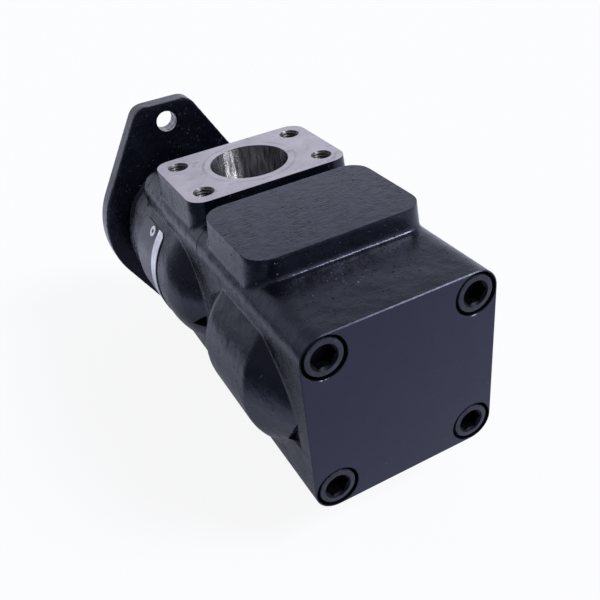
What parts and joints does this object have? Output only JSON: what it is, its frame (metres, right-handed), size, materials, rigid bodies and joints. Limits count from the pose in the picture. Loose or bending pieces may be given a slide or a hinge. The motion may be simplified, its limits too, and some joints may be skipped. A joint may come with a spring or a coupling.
{
  "type": "hydraulic pump",
  "caption": "Tandem internal gear pump: two cast housings bolted end to end behind a two-bolt mounting flange, keyed drive shaft, flanged inlet pad on top and outlet pad underneath.",
  "frame": {"origin": "centre of the mounting face, on the drive shaft's axis", "axes": "+Y out along the drive shaft, +Z towards the inlet port, +X to the right when the rear cap is looked at with the inlet up"},
  "size_m": [0.1363, 0.313, 0.172],
  "materials": {
    "housing_paint": "semi-gloss black paint on cast iron, port faces machined bare",
    "ground_steel": "ground and hardened",
    "bronze": "machined bearing bronze",
    "seal_rubber": "matt",
    "black_steel": "black oxide",
    "nameplate_paint": "dark coated thin sheet, bare of any text",
    "rivet_metal": "bare"
  },
  "bodies": {
    "housing": {"mounting_flange": "housing_paint", "front_housing": "housing_paint", "rear_housing": "housing_paint", "front_bush": "bronze", "middle_front_bush": "bronze", "middle_rear_bush": "bronze", "rear_bush": "bronze", "front_filler_inner": "bronze", "front_filler_outer": "bronze", "front_filler_rolls": "ground_steel", "front_filler_pin": "ground_steel", "rear_filler_inner": "bronze", "rear_filler_outer": "bronze", "rear_filler_rolls": "ground_steel", "rear_filler_pin": "ground_steel", "front_plate_a": "bronze", "front_plate_b": "bronze", "rear_plate_a": "bronze", "rear_plate_b": "bronze", "shaft_seal": "seal_rubber", "seal_spring": "ground_steel", "seal_circlip": "ground_steel", "front_joint_seal": "seal_rubber", "middle_joint_seal": "seal_rubber", "dowel_pins": "ground_steel", "cap_screws": "black_steel", "nameplate": "nameplate_paint", "nameplate_rivets": "rivet_metal"},
    "shaft": {"drive_pinion": "ground_steel", "coupling_sleeve": "ground_steel", "rear_pinion": "ground_steel"},
    "front_ring": {"front_ring_gear": "ground_steel"},
    "rear_ring": {"rear_ring_gear": "ground_steel"}
  },
  "joints": [
    {"name": "shaft_spin", "type": "hinge", "parent": "housing", "child": "shaft", "pos_m": [0, 0, 0], "axis": [0, 1, 0], "continuous": true},
    {"name": "front_ring_spin", "type": "hinge", "parent": "housing", "child": "front_ring", "pos_m": [0.01575, 0, 0], "axis": [0, 1, 0], "continuous": true},
    {"name": "rear_ring_spin", "type": "hinge", "parent": "housing", "child": "rear_ring", "pos_m": [0.01575, 0, 0], "axis": [0, 1, 0], "continuous": true}
  ],
  "couplings": [
    {"joint": "front_ring_spin", "follows": "shaft_spin", "ratio": 0.52632},
    {"joint": "rear_ring_spin", "follows": "shaft_spin", "ratio": 0.52632}
  ]
}
